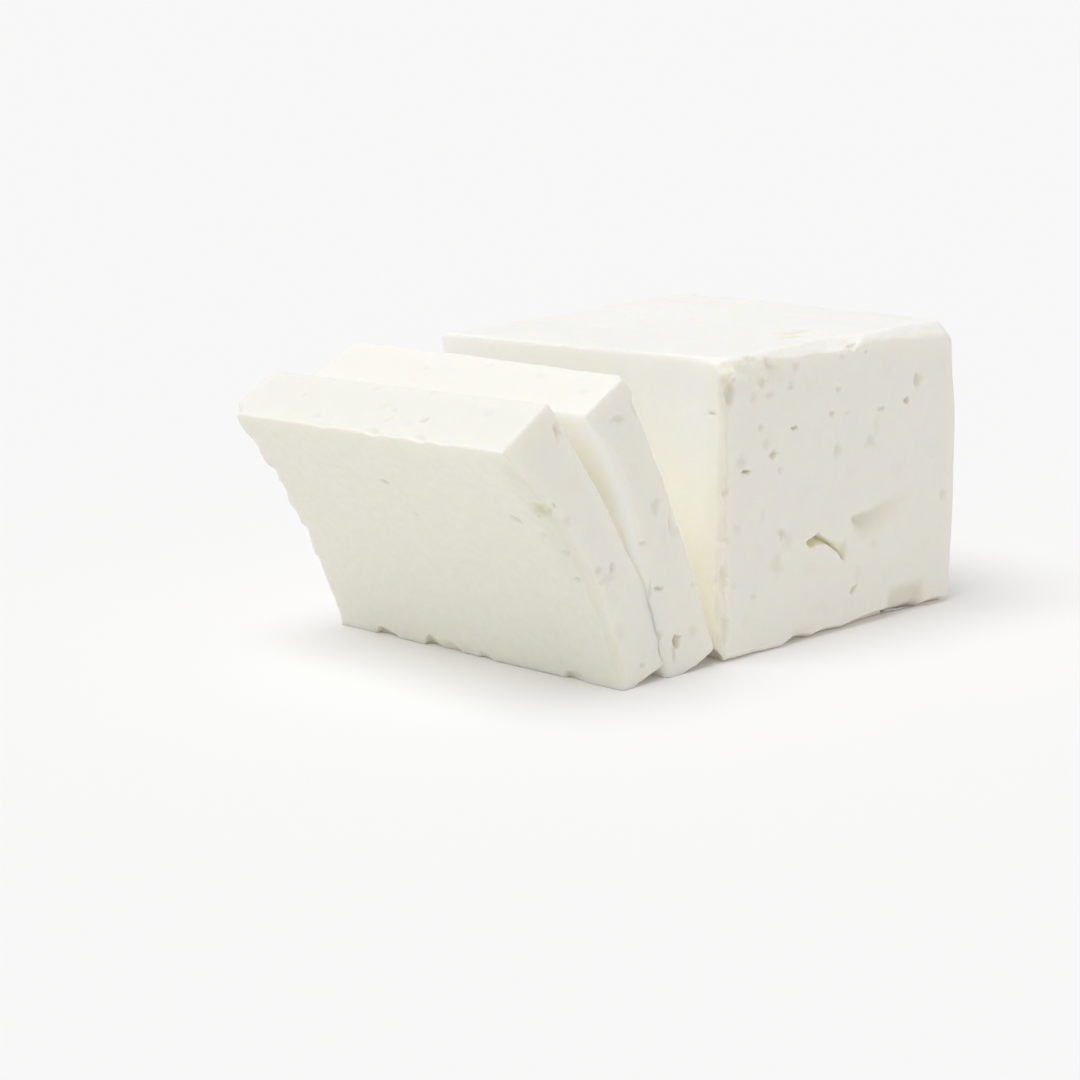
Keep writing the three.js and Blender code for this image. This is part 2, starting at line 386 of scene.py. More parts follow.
    def lip(self, at, facing, length, height, rise, turn=0.0, seed=1):
        """A raised shred of curd along a face."""
        o, n, u, v = self.frame_of(np.asarray(at, float), facing)
        pick = self.around(o, 1.3 * length + 1, n)
        d = self.base[pick] - o
        c, s = math.cos(math.radians(turn)), math.sin(math.radians(turn))
        a, b = d @ u, d @ v
        a, b = a * c + b * s, b * c - a * s
        b = b + 0.35 * noise(self.base[pick], 2.4, seed)
        share = bell(b, height) * np.clip(1 - (a / length) ** 2, 0, 1) ** 0.7
        self.points[pick] += n * (rise * share)[:, None]

    def scallop(self, at, facing, left, right, height, depth, wall=(0.6, 2.0), seed=1, shade_weight=0.3):
        """A facet that leans inward below a rim: it reaches from left to right of at and sinks over height."""
        o, n, u, v = self.frame_of(np.asarray(at, float), facing)
        pick = self.around(o, max(left, right, height) + 4, n)
        d = self.base[pick] - o
        rag = 0.5 * noise(self.base[pick], 2.6, seed) + 0.7 * noise(self.base[pick], 7.0, seed + 1)
        a, b = d @ u + 0.6 * rag, d @ v + 0.5 * rag
        share = (
            np.clip(-b / height, 0, 1.2)
            * smooth(a, -left - wall[0], -left + wall[0])
            * (1 - smooth(a, right - wall[1], right + wall[1]))
        )
        self.points[pick] -= n * (depth * share)[:, None]
        self.mark(pick, np.clip(1.6 * share, 0, 1), 1.0, shade_weight)

    def chip(self, at, n, ru, rv, depth, along, rough=0.18, seed=1, shade_weight=0.25):
        """A bite off an edge or corner, cut to a shallow bowl that faces n."""
        n = unit(n)
        u = unit(np.asarray(along, float) - n * (n @ np.asarray(along, float)))
        v = np.cross(n, u)
        at = self.base[np.argmin(((self.base - np.asarray(at, float)) ** 2).sum(1))]
        d = self.points - at
        pick = np.nonzero((np.abs(d) < 1.6 * max(ru, rv) + 3).all(1))[0]
        d = d[pick]
        rho2 = (d @ u / ru) ** 2 + (d @ v / rv) ** 2
        w = d @ n
        floor = -depth * (1 - rho2) + rough * noise(self.base[pick], 1.7, seed)
        soft = 0.16
        low = np.minimum(w, floor)
        new = low - soft * np.log(np.exp(-(w - low) / soft) + np.exp(-(floor - low) / soft))
        move = np.where((w > -4 * depth - 2) & (rho2 < 2.2), np.minimum(new - w, 0), 0)
        move[move > -0.02] = 0
        self.points[pick] += n * move[:, None]
        self.mark(pick, np.clip(-move / 1.6, 0, 1), 1.0, shade_weight)

    def mark(self, pick, share, depth, shade_weight, olive=0.0):
        """Paints shade into hollows: a grey painted shade, and an olive painted shade in deep ones."""
        self.shade[pick] = np.maximum(self.shade[pick], np.clip(share * shade_weight * min(1.0, 0.12 + 0.8 * depth), 0, 1))
        self.painted_olive_shade[pick] = np.maximum(self.painted_olive_shade[pick], share * olive * float(smooth(depth, 0.8, 2.0)))


def scatter(curd, facing, low, high, count, seed):
    """Pits, slits and soft dents over one side, as the shown sides have them. low and high are opposite corners of the side."""
    dice = np.random.RandomState(seed)
    low, high = np.asarray(low, float), np.asarray(high, float)
    for n in range(count):
        at = low + dice.rand(3) * (high - low)
        kind = dice.rand()
        turn = dice.uniform(-40, 40)
        if kind < 0.5:
            r = dice.uniform(1.6, 3.6)
            curd.press(at, facing, r, r * dice.uniform(0.6, 1.1), dice.uniform(0.2, 0.55), turn, 0.35, 1.5, seed + n)
        elif kind < 0.8:
            r = dice.uniform(0.8, 1.5)
            curd.press(at, facing, r, r * dice.uniform(0.7, 1.3), dice.uniform(0.5, 1.1), turn, 0.3, 1.1, seed + n)
        else:
            r = dice.uniform(1.4, 2.6)
            curd.press(at, facing, r, dice.uniform(0.5, 0.75), dice.uniform(0.6, 1.2), turn * 0.6, 0.3, 1.0, seed + n)


def crumble_edge(curd, start, end, n, count, depth, seed):
    """Small bites along a straight stretch of edge that faces n."""
    dice = np.random.RandomState(seed)
    start, end = np.asarray(start, float), np.asarray(end, float)
    for k in range(count):
        at = mix(start, end, dice.rand())
        bite = depth * dice.uniform(0.35, 1.0)
        lean = unit(np.asarray(n, float) + dice.uniform(-0.35, 0.35, 3))
        curd.chip(at, lean, dice.uniform(1.5, 4.5), dice.uniform(1.5, 3.0), bite, end - start, 0.15, seed + k)


def grain(curd, cut, seed, calm=0.0):
    """The skin of the curd: soft waves, lumps and fine grain, calmer on a cut face, with edges that crumble except where calm."""
    p, n = curd.base, curd.normal
    waves = mix(0.20, 0.08, cut) * noise(p, 13.0, seed)
    lumps = mix(0.080, 0.030, cut) * noise(p, 5.2, seed + 1)
    fine = mix(0.022, 0.014, cut) * noise(p, 1.8, seed + 2)
    wear_and_painted_shade = noise(p, 3.4, seed + 3)
    edge = bell(curd.rim, 1.2) * mix(0.22, 0.06, cut) * np.clip(wear_and_painted_shade + 0.15, 0, 1)
    lost = noise(p, 7.5, seed + 4)
    bites = bell(curd.rim, 1.8) * mix(0.38, 0.10, cut) * smooth(lost, 0.20, 0.75)
    curd.points += n * (waves + lumps + fine - (1 - calm) * (edge + bites))[:, None]


def as_object(curd, name, triangles, cut_painted_light, painted_cream_shade, pale, painted_top_shade):
    mesh = bpy.data.meshes.new(name)
    points = (curd.points * MM).astype(np.float32)
    faces = curd.faces.astype(np.int32)
    mesh.vertices.add(len(points))
    mesh.vertices.foreach_set("co", points.ravel())
    mesh.loops.add(faces.size)
    mesh.loops.foreach_set("vertex_index", faces.ravel())
    mesh.polygons.add(len(faces))
    mesh.polygons.foreach_set("loop_start", np.arange(0, faces.size, 4, dtype=np.int32))
    mesh.polygons.foreach_set("loop_total", np.full(len(faces), 4, np.int32))
    mesh.update(calc_edges=True)
    # Painted light: upward faces are given a whiter colour, scaled by pale for each piece.
    upper = pale * smooth(curd.normal[:, 2], 0.45, 0.85)
    for label, values in (("painted_olive_shade", curd.painted_olive_shade), ("shade", curd.shade), ("cut_painted_light", cut_painted_light), ("painted_cream_shade", painted_cream_shade), ("upper", upper), ("painted_top_shade", painted_top_shade), ("glow", curd.glow)):
        layer = mesh.attributes.new(label, "FLOAT", "POINT")
        layer.data.foreach_set("value", values.astype(np.float32))
    obj = bpy.data.objects.new(name, mesh)
    bpy.context.scene.collection.objects.link(obj)
    if 2 * len(faces) > triangles:
        thin = obj.modifiers.new("thin", "DECIMATE")
        thin.ratio = triangles / (2 * len(faces))
        thin.use_collapse_triangulate = True
        depsgraph = bpy.context.evaluated_depsgraph_get()
        final = bpy.data.meshes.new_from_object(obj.evaluated_get(depsgraph))
        obj.modifiers.clear()
        obj.data = final
        bpy.data.meshes.remove(mesh)
        final.name = name
    obj.data.polygons.foreach_set("use_smooth", np.ones(len(obj.data.polygons), bool))
    return obj


NEAR, FAR, FRONT, BACK, TOP, FOOT = (1, 0, 0), (-1, 0, 0), (0, -1, 0), (0, 1, 0), (0, 0, 1), (0, 0, -1)
EDGE = BLOCK_WIDTH / 2

# ---------------------------------------------------------------- the block

block = Curd(
    (BLOCK_WIDTH, BLOCK_LENGTH, BLOCK_HEIGHT), 0.46,
    ((), ((31.5, 50.0, 0.24),), ((17.0, 29.0, 0.24),)),
    block_roundness, block_unevenness, block_place,
)
block_cut = smooth(-block.side[:, 1], 0.3, 0.8)
back_upright = smooth(block.base[:, 0], 44.0, 49.0) * smooth(block.base[:, 1], 78.0, 82.5)
grain(block, mix(block_cut, 1.0, 0.6 * smooth(block.side[:, 2], 0.5, 0.9)), 3, 0.9 * back_upright)


def beside(y, z):
    """A spot on the near side, y millimetres behind the cut face."""
    return (EDGE, y + CUT_FACE_Y, z)


# Pits, slits and dents of the near side: y, z, half length, half height, depth, turn, steepness.
NEAR_PITS = [
    (77.8, 62.7, 2.0, 3.0, 1.1, -8, 1.3), (73.2, 57.7, 1.25, 1.0, 1.5, 0, 0.9), (62.6, 56.8, 2.0, 0.8, 0.7, 4, 1.2),
    (55.3, 71.8, 0.9, 0.7, 0.7, 0, 1.1), (45.6, 71.9, 1.2, 0.8, 0.4, 0, 1.3), (27.3, 55.7, 1.45, 0.55, 1.2, 2, 0.9),
    (44.5, 63.7, 1.3, 1.1, 0.6, 0, 1.3), (41.9, 57.8, 1.2, 0.8, 0.8, 8, 1.1), (48.0, 57.2, 1.6, 0.8, 0.3, 0, 1.4),
    (18.9, 50.2, 1.8, 1.35, 1.1, 0, 1.1), (9.2, 47.0, 1.9, 0.55, 1.6, -3, 0.8), (7.6, 49.4, 2.3, 2.4, 0.6, 0, 1.4),
    (21.7, 45.6, 1.5, 1.2, 0.5, 0, 1.3), (1.9, 42.9, 1.1, 1.6, 0.8, -20, 1.1), (44.4, 48.0, 2.4, 2.1, 0.75, 0, 1.3),
    (58.2, 48.6, 3.0, 2.4, 0.75, 0, 1.4), (60.8, 52.0, 1.9, 4.2, 0.4, 0, 1.5), (90.6, 30.5, 2.0, 2.2, 0.7, 0, 1.4),
    (23.3, 29.6, 1.7, 1.9, 0.9, 30, 1.2), (21.5, 21.6, 3.2, 3.3, 0.6, 0, 1.5), (52.1, 10.1, 1.7, 0.75, 1.3, 38, 0.9),
    (27.2, 71.2, 1.3, 1.5, 0.6, 0, 1.2), (25.6, 66.7, 1.4, 1.5, 0.55, 0, 1.2), (14.6, 57.3, 1.1, 1.1, 0.65, 0, 1.0),
    (15.1, 68.6, 2.4, 2.0, 0.7, 0, 1.3), (17.6, 64.8, 2.1, 1.3, 0.5, 10, 1.3), (11.7, 64.7, 1.6, 1.8, 0.5, 0, 1.3),
    (17.0, 53.4, 2.6, 2.0, 0.45, 0, 1.5), (12.8, 15.0, 1.3, 1.0, 0.5, 0, 1.2), (6.0, 33.4, 2.2, 1.6, 0.45, 0, 1.4),
    (15.5, 35.0, 1.0, 2.4, 0.3, 0, 1.4), (60.0, 21.5, 2.2, 1.7, 0.35, 0, 1.5), (54.0, 14.0, 2.2, 2.6, 0.3, 0, 1.5),
    (35.0, 18.5, 4.2, 3.0, 0.4, 0, 1.6), (85.0, 44.0, 4.4, 3.4, 0.3, 0, 1.6), (70.0, 40.0, 5.0, 3.2, 0.35, 0, 1.6),
    (32.0, 40.0, 5.0, 4.4, 0.35, 0, 1.6), (82.0, 17.0, 4.0, 3.0, 0.35, 0, 1.6), (40.0, 8.0, 3.8, 2.4, 0.35, 0, 1.6),
    (26.0, 27.0, 3.4, 2.4, 0.4, 20, 1.5), (64.0, 66.0, 4.4, 3.2, 0.3, 0, 1.6), (34.0, 66.0, 4.0, 3.2, 0.3, 0, 1.6),
    (50.0, 41.0, 3.4, 3.0, 0.3, 0, 1.6), (14.0, 27.0, 3.2, 2.6, 0.35, 0, 1.6), (10.0, 9.0, 3.0, 2.4, 0.35, 0, 1.6),
    (66.0, 12.0, 3.2, 2.4, 0.35, 0, 1.6), (36.0, 53.0, 3.6, 2.8, 0.3, 0, 1.6), (88.0, 66.0, 3.0, 2.6, 0.3, 0, 1.6),
]
# Each is darkened with painted shade, only faintly on the broad soft dents.
for n, (y, z, ru, rv, depth, turn, steep) in enumerate(NEAR_PITS):
    block.press(beside(y, z), NEAR, ru, rv, depth, turn, 0.5, steep, 20 + n, 0.3 if steep > 1.55 else 1.0)

# The scoop: crisp at its left corner and along its ridge, running out to the right and down, with painted shade that is
# darkest at the corner.
block.flake(beside(49.8, 30.4), NEAR, 27.0, 3.0, 11.0, 1.7, 13, 0.35, 61, 1.5, 0.4)
# The dent at the near foot, leaning in below its rim and darkened with painted shade, and the waves of the foot's edge.
block.scallop(beside(75.8, 9.4), NEAR, 8.0, 6.4, 9.0, 2.8, (2.6, 2.6), 63, 1.9)
block.scallop(beside(31.2, 4.0), NEAR, 3.4, 4.0, 4.0, 1.2, (1.2, 1.6), 65, 0.9)
for y, ru, depth, seed in ((30.7, 6.0, 1.2, 66), (43.0, 5.0, 0.5, 67), (65.0, 19.0, 1.8, 68), (88.0, 6.0, 0.7, 71)):
    block.chip(beside(y, 0.4), (0.45, 0, -0.89), ru, 5.0, depth, (0, 1, 0), 0.06, seed)
# The near upper edge: worn round, low before its notch, with chips by the cut face.
UPPER_EDGE, CUT_EDGE = (0.72, 0, 0.69), (0.85, -0.53, 0)
for y, ru, depth, seed in ((27.0, 9.0, 0.6, 204), (79.0, 9.0, 0.4, 207)):
    block.chip(beside(y, 76.6), (0.7, 0, 0.7), ru, 3.6, depth, (0, 1, 0), 0.14, seed, 0.0)
block.chip(beside(42.5, 76.6), (0.45, 0, 0.89), 11.5, 6.0, 1.7, (0, 1, 0), 0.16, 208, 0.0)
block.chip(beside(48.6, 76.6), (0.6, 0.1, 0.8), 4.2, 4.0, 1.5, (0, 1, 0), 0.16, 209, 0.0)
block.press(beside(50.5, 74.4), UPPER_EDGE, 2.4, 1.7, 0.9, 0, 0.5, 1.3, 72, 0.8, 1.5)
block.flake(beside(15.8, 75.8), UPPER_EDGE, 10.0, 1.4, 4.8, 1.5, -20, 0.4, 73, 1.3)
block.lip(beside(20.6, 71.6), NEAR, 4.4, 0.7, 0.5, -14, 74)
block.press(beside(10.4, 75.0), UPPER_EDGE, 2.5, 1.3, 0.7, -6, 0.4, 1.1, 75, 1.0)
# A shred of curd by the near upright edge, the hollow under it, and the grooves down that edge.
block.press(beside(2.7, 67.2), CUT_EDGE, 1.9, 4.4, 1.2, 0, 0.4, 0.9, 77, 1.2, 0.0)
block.lip(beside(1.9, 72.0), CUT_EDGE, 2.6, 0.6, 0.9, 14, 78)
block.lip(beside(5.6, 71.0), NEAR, 4.0, 0.55, 0.8, -13, 79)
block.press(beside(1.3, 31.0), CUT_EDGE, 2.2, 1.7, 0.6, 0, 0.5, 1.3, 80, 0.9)
block.press(beside(1.9, 20.4), CUT_EDGE, 1.5, 4.0, 0.9, 0, 0.6, 1.2, 81, 0.9, 0.3)
block.press(beside(2.0, 8.8), CUT_EDGE, 1.5, 4.4, 0.9, 0, 0.6, 1.2, 82, 0.9, 0.3)
block.press(beside(4.8, 19.0), NEAR, 1.5, 1.3, 0.4, 0, 0.4, 1.4, 83, 0.8)
# Painted shade along the rounded near upright edge and the top of the cut face, made patchy by noise.
upright_edge_shade = smooth(-block.side[:, 1], 0.2, 0.5) * np.maximum(
    smooth(block.side[:, 0], 0.05, 0.3) * (1 - smooth(block.side[:, 2], 0.1, 0.5)), 0.6 * smooth(block.side[:, 2], 0.1, 0.4)
)
block.shade = np.maximum(block.shade, upright_edge_shade * np.clip(0.62 + 0.4 * noise(block.base, 7.0, 87) + 0.3 * noise(block.base, 2.8, 88), 0, 1))
# Painted shade on the cut face, growing toward the near upright edge and stronger higher up.
toward_edge = smooth(-block.side[:, 1], 0.6, 0.9) * (1 - smooth(EDGE - block.base[:, 0], 0.5, 9.0))
block.shade = np.maximum(block.shade, toward_edge * (0.1 + 0.45 * smooth(block.base[:, 2], 18, 40)))
# The foot of the cut face draws in beside the back slice.
block.chip((44.0, CUT_FACE_Y, 0.4), (0.05, -0.75, -0.66), 8.0, 6.0, 3.0, (1, 0, 0), 0.2, 82, 0.2)
# The crack: a pocket under a keen lip, drawn out into a line with a sunken flake above it; olive painted shade fills
# the pocket and flake, and a painted shadow darkens the line under the lip.
CRACK_LIP = np.array([[32.6, 25.9], [35.6, 26.7], [36.8, 27.5], [37.7, 27.5], [39.0, 26.2], [40.9, 25.1], [42.8, 23.9], [44.3, 22.8], [46.5, 21.0], [48.4, 18.6]])
CRACK_FLOOR = np.array([[32.6, 25.4], [34.0, 23.9], [35.8, 23.7], [37.1, 24.2], [39.0, 24.2], [40.9, 23.7], [42.8, 22.7], [44.3, 21.6], [46.5, 19.5], [48.4, 18.0]])
CRACK_DEPTH = np.array([[32.5, 0.0], [33.2, 2.6], [35.0, 3.8], [37.6, 4.0], [39.5, 2.8], [41.5, 2.2], [44.0, 2.3], [46.6, 2.6], [47.6, 1.9], [48.6, 0.0]])
pick = block.around(np.array(beside(40.5, 23.0)), 11.0, np.array([1.0, 0, 0]))
cy, cz = block.base[pick, 1] - CUT_FACE_Y, block.base[pick, 2]
ragged = 0.18 * noise(block.base[pick], 1.5, 91) + 0.2 * noise(block.base[pick], 3.2, 92)
lip = np.interp(cy, CRACK_LIP[:, 0], CRACK_LIP[:, 1]) + ragged
bed = np.interp(cy, CRACK_FLOOR[:, 0], CRACK_FLOOR[:, 1]) + ragged
share = (1 - smooth(cz, lip - 0.1, lip + 0.22)) * np.clip((cz - bed) / np.maximum(0.75 * (lip - bed), 0.3), 0, 1)
sunk = share * np.interp(cy, CRACK_DEPTH[:, 0], CRACK_DEPTH[:, 1])
brow = np.interp(cy, [41.0, 47.9], [25.4, 24.4])
flake = np.clip((brow - cz) / np.maximum(brow - lip, 0.4), 0, 1) * (cz > lip) * smooth(cy, 40.5, 43.5) * (1 - smooth(cy, 47.5, 48.2))
sunk = np.maximum(sunk, 1.3 * flake)
rim = bell(cz - bed + 0.5, 0.5) * smooth(cy, 36.0, 39.0) * (1 - smooth(cy, 45.0, 48.0))
block.points[pick] -= np.array([1.0, 0, 0]) * (sunk - 0.22 * rim)[:, None]
block.painted_olive_shade[pick] = np.maximum(block.painted_olive_shade[pick], np.clip(np.maximum(1.5 * share * np.interp(cy, CRACK_DEPTH[:, 0], CRACK_DEPTH[:, 1]) / 2.4, 0.55 * flake), 0, 1))
# Painted shadow under the lip, and a painted shade spot at the pocket's right end.
under = bell(cz - lip + 0.35, 0.4) * (0.55 + 0.45 * np.maximum(bell(cy - 36.8, 1.2), np.maximum(bell(cy - 33.2, 0.7), bell(cy - 46.3, 1.2))))
block.shade[pick] = np.maximum(block.shade[pick], np.clip(1.3 * under * smooth(cy, 32.6, 33.4) * (1 - smooth(cy, 47.6, 48.6)), 0, 1))
block.shade[pick] = np.maximum(block.shade[pick], 0.8 * bell(cy - 48.0, 0.5) * smooth(cz, 18.5, 20.0) * (1 - smooth(cz, 23.0, 25.0)))

# The upper face: a faint streak, and shallow marks.
block.press((31.5, 38.0, 76.4), TOP, 8.0, 3.4, 0.55, 92, 0.6, 1.2, 101, 1.6)
block.press((36.0, 31.0, 76.4), TOP, 7.5, 3.0, 0.5, 84, 0.6, 1.2, 102, 1.5)
for n, (x, y, r, depth) in enumerate(((-22, 20, 3.0, 0.25), (8, 62, 2.4, 0.3), (-36, 58, 2.6, 0.3), (22, 8, 2.2, 0.2), (-8, 44, 1.3, 0.3), (38, 70, 1.2, 0.3), (-30, -2, 1.1, 0.3))):
    block.press((x, y, 76), TOP, r, 0.7 * r, depth, 25 * n, 0.3, 1.4, 103 + n, 0.3)
# The cut face: one slit, and small pits behind the slice.
block.press((46.5, CUT_FACE_Y, 62.1), FRONT, 1.3, 0.45, 0.8, 0, 0.2, 1.0, 111)
scatter(block, FRONT, (-46, CUT_FACE_Y, 6), (20, CUT_FACE_Y, 66), 9, 112)
# Sides the picture doesn't show carry the same wear.
scatter(block, FAR, (-EDGE, -8, 8), (-EDGE, 80, 72), 34, 131)
scatter(block, BACK, (-46, 84, 8), (46, 84, 72), 34, 171)
scatter(block, FOOT, (-44, -6, 0), (44, 78, 0), 14, 211)
block.flake((-EDGE, 44.0, 40.0), FAR, 16.0, 3.0, 10.0, 1.5, 8, 0.4, 241, 1.1)
block.press((-EDGE, 58.0, 22.0), FAR, 3.4, 0.8, 2.0, 24, 0.3, 0.8, 242)
block.press((-EDGE, 12.0, 58.0), FAR, 2.2, 0.7, 1.5, -12, 0.3, 0.8, 243)
block.flake((6.0, 84.3, 54.0), BACK, 15.0, 3.0, 9.5, 1.4, -6, 0.4, 244, 1.1)
block.press((-18.0, 84.3, 30.0), BACK, 3.0, 0.8, 1.9, -20, 0.3, 0.8, 245)
block.scallop((-EDGE, 20.0, 8.4), FAR, 7.0, 7.0, 8.0, 2.8, (2.2, 2.4), 246, 1.3)
block.scallop((24.0, 84.3, 7.6), BACK, 6.0, 8.0, 7.4, 2.4, (2.2, 2.4), 247, 1.3)
for y, ru, depth, seed in ((4, 4, 0.6, 248), (36, 12, 1.7, 249), (69, 8, 1.1, 251)):
    block.chip((-EDGE, y, 0.4), (-0.45, 0, -0.89), ru, 5.0, depth, (0, 1, 0), 0.15, seed)
for x, ru, depth, seed in ((-38, 9, 1.2, 252), (-8, 5, 0.7, 253), (13, 12, 1.6, 254), (40, 4, 0.6, 255)):
    block.chip((x, 84.3, 0.4), (0, 0.45, -0.89), ru, 5.0, depth, (1, 0, 0), 0.15, seed)
crumble_edge(block, (-EDGE, -8, 74), (-EDGE, 82, 76), (-0.7, 0, 0.7), 14, 0.8, 261)
crumble_edge(block, (-40, 84.3, 77), (44, 84.3, 77), (0, 0.7, 0.7), 12, 0.7, 281)
crumble_edge(block, (-EDGE, 84.3, 6), (-EDGE, 84.3, 72), (-0.7, 0.7, 0), 10, 0.8, 301)
block.chip((EDGE, 84.3, 0.3), (0.35, 0.62, -0.70), 4.5, 4.5, 1.6, (0, 0, 1), 0.08, 321, 0.0)
crumble_edge(block, (-EDGE, CUT_FACE_Y, 4), (-EDGE, CUT_FACE_Y, 72), (-0.7, -0.7, 0), 10, 0.7, 341)
crumble_edge(block, (-46, CUT_FACE_Y, 0.5), (36, CUT_FACE_Y, 0.5), (0, -0.8, -0.6), 12, 1.1, 381)

block.points[:, 2] = np.maximum(block.points[:, 2], 0)
block.points[:, 1] = np.maximum(block.points[:, 1], CUT_FACE_Y)

# ---------------------------------------------------------------- the slices


def new_slice(piece, k, stop, clinging):
    return Curd(
        (SLICE_WIDTH, piece["thickness"], piece["height"]), 0.40, ((), (), ()),
        slice_roundness(piece, clinging), slice_unevenness(k), slice_place(piece, stop),
    )


front_slice = new_slice(FRONT_SLICE, 5, stop_at_back_slice, "back")
back_slice = new_slice(BACK_SLICE, 3, stop_at_block, "front")
front_cut = smooth(np.abs(front_slice.side[:, 1]), 0.4, 0.85)
back_cut = smooth(np.abs(back_slice.side[:, 1]), 0.4, 0.85)
front_cling = smooth(front_slice.straight[:, 1] / FRONT_SLICE["thickness"], 0.5, 0.8) * (1 - smooth(front_slice.base[:, 2], 24, 32))
back_cling = smooth(1 - back_slice.straight[:, 1] / BACK_SLICE["thickness"], 0.5, 0.8) * (1 - smooth(back_slice.base[:, 2], 24, 32))
grain(front_slice, mix(front_cut, 1.0, 0.5 * smooth(front_slice.side[:, 2], 0.5, 0.9)), 13, front_cling)
grain(back_slice, mix(back_cut, 1.0, 0.5 * smooth(back_slice.side[:, 2], 0.5, 0.9)), 13, back_cling)

# The front slice: upper face, front face and near side.
for n, (x, y, z, facing, ru, rv, depth, turn, steep) in enumerate(
    [
        (18.2, -78.6, 65.2, TOP, 1.6, 1.0, 0.8, 15, 1.0), (5.1, -76.9, 65.9, TOP, 0.9, 0.7, 0.5, 0, 1.1),
        (6.6, -79.9, 64.0, TOP, 2.6, 0.7, 0.5, 60, 1.2), (-7.6, -71.2, 69.2, TOP, 2.4, 2.0, 0.30, 0, 1.5),
        (0.3, -76.1, 66.2, TOP, 2.2, 1.6, 0.25, 0, 1.5), (-18.5, -81.0, 62.6, TOP, 2.0, 1.4, 0.35, 0, 1.4),
        (12.8, -70.5, 70.0, TOP, 1.8, 1.6, 0.25, 0, 1.5), (35.1, -74.5, 67.9, TOP, 2.2, 2.0, 0.30, 0, 1.5),
        (14.0, -80.5, 64.0, TOP, 1.6, 1.2, 0.25, 0, 1.4), (-30.0, -75.0, 65.0, TOP, 1.4, 1.0, 0.25, 0, 1.4),
        (-3.2, -73.4, 47.2, FRONT, 1.7, 0.8, 0.8, -4, 1.1), (1.5, -68.0, 39.0, FRONT, 1.3, 0.9, 0.25, 0, 1.4),
        (-26.0, -74.0, 50.0, FRONT, 1.6, 1.2, 0.2, 0, 1.5), (-18.0, -74.0, 50.0, FRONT, 1.4, 1.0, 0.2, 0, 1.5),
        (47.0, -71.0, 47.2, FRONT, 3.8, 2.4, 1.5, -22, 1.2), (37.4, -68.3, 42.9, FRONT, 1.8, 0.8, 0.8, -25, 1.1),
        (43.2, -65.9, 40.1, FRONT, 1.6, 1.2, 0.4, 0, 1.4), (47.2, -62.3, 35.7, FRONT, 1.3, 1.1, 0.7, 0, 1.1),
        (46.8, -57.9, 28.8, FRONT, 0.9, 0.8, 0.7, 0, 1.1), (49.9, -64.2, 43.8, NEAR, 1.9, 1.5, 0.45, 0, 1.4),
        (50.1, -54.0, 30.8, NEAR, 1.4, 1.4, 0.6, 10, 1.2), (50.2, -49.1, 30.4, NEAR, 1.3, 1.5, 0.8, 0, 1.1),
        (50.1, -51.3, 28.0, NEAR, 3.4, 2.0, 0.5, 0, 1.5), (49.9, -49.5, 23.8, NEAR, 2.8, 2.8, 0.4, 0, 1.6),
        (49.0, -39.0, 4.7, NEAR, 1.2, 0.9, 0.6, 0, 1.1), (49.2, -67.2, 65.4, NEAR, 1.7, 2.5, 1.0, 10, 1.2),
        (49.5, -60.0, 52.0, NEAR, 4.0, 4.0, 0.3, 0, 1.6), (49.5, -46.0, 14.0, NEAR, 2.6, 3.0, 0.35, 0, 1.5),
        (49.5, -56.0, 40.0, NEAR, 3.4, 3.4, 0.3, 0, 1.6),
    ]
):
    front_slice.press((x, y, z), facing, ru, rv, depth, turn, 0.5, steep, 401 + n, 0.3 if steep > 1.55 else 1.0)
# The back slice: near side and upper face.
for n, (x, y, z, facing, ru, rv, depth, turn, steep) in enumerate(
    [
        (50.4, -47.0, 65.2, NEAR, 2.6, 1.4, 0.6, 0, 1.3), (49.8, -34.8, 43.4, NEAR, 1.9, 2.8, 0.7, 0, 1.3),
        (49.3, -39.1, 35.0, NEAR, 1.1, 0.8, 0.6, 20, 1.1), (49.6, -33.5, 22.7, NEAR, 1.6, 0.6, 1.0, -12, 0.9),
        (49.6, -33.0, 10.8, NEAR, 1.4, 1.6, 0.9, -25, 1.1), (50.0, -27.2, 8.6, NEAR, 1.2, 1.7, 3.4, 10, 0.5),
        (50.0, -27.8, 5.4, NEAR, 0.6, 2.0, 0.8, 0, 1.0), (49.9, -21.5, 10.2, NEAR, 2.0, 2.0, 0.45, 0, 1.5),
        (49.8, -21.5, 21.9, NEAR, 1.2, 1.0, 0.4, 0, 1.3), (49.7, -31.5, 35.0, NEAR, 2.6, 3.4, 0.35, 0, 1.6),
        (49.8, -42.0, 52.0, NEAR, 3.0, 4.0, 0.3, 0, 1.6), (49.6, -36.4, 23.0, NEAR, 0.7, 2.6, 0.5, 0, 1.3),
        (41.8, -51.4, 71.6, TOP, 2.2, 1.4, 0.3, 0, 1.5), (24.7, -48.1, 73.1, TOP, 2.2, 1.4, 0.3, 0, 1.5),
        (-14.0, -50.0, 72.0, TOP, 1.4, 1.0, 0.3, 0, 1.3), (5.0, -46.5, 73.5, TOP, 1.8, 1.0, 0.25, 20, 1.4),
    ]
):
    back_slice.press((x, y, z), facing, ru, rv, depth, turn, 0.5, steep, 441 + n, 0.3 if steep > 1.55 else 1.0, 0.3)
for n, (y, z, ru, rv, depth) in enumerate(((-41.0, 67.2, 1.3, 2.6, 0.9), (-33.8, 54.5, 1.2, 2.4, 0.7), (-30.2, 46.5, 1.0, 2.2, 0.6), (-29.0, 37.9, 1.3, 1.9, 0.7))):
    back_slice.press((49.9, y, z), (0.85, 0.53, 0), ru, rv, depth, 15, 0.5, 1.1, 460 + n, 0.9, 0.0)
back_slice.lip((50.4, -45.6, 63.2), NEAR, 1.2, 0.5, 0.4, -20, 470)
